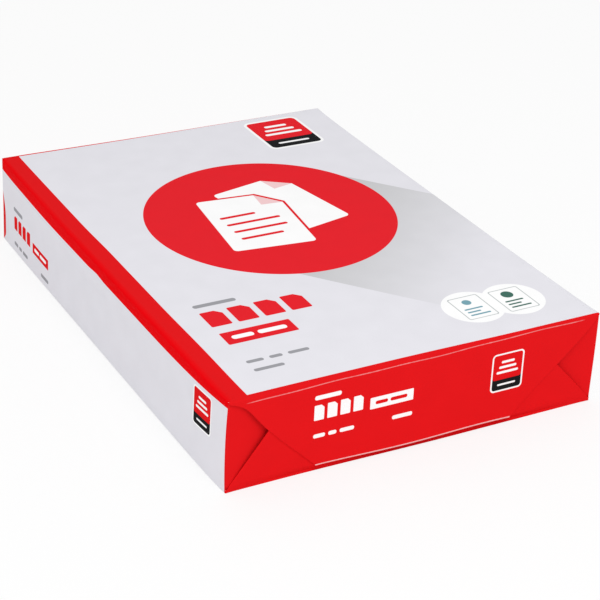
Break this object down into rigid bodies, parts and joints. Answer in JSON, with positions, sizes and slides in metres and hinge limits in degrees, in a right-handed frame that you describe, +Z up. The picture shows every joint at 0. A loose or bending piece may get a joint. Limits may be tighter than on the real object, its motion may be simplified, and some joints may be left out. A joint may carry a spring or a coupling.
{
  "type": "ream of paper",
  "caption": "Sealed ream of A4 copier paper lying flat, in a printed paper wrapper with parcel-folded ends and a lap along the underside.",
  "frame": {"origin": "centre of the underside, on the surface the ream lies on", "axes": "+Z up from the underside, +Y along the long side of the sheets, +X across them; the folded end that shows in the picture is at -Y and the long side that shows is at -X"},
  "size_m": [0.2116, 0.3, 0.051],
  "materials": {
    "wrapper_paper": "coated wrapper paper with a soft sheen, pale grey with red fields"
  },
  "bodies": {
    "root": {"wrapped_ream": "wrapper_paper"}
  },
  "joints": []
}
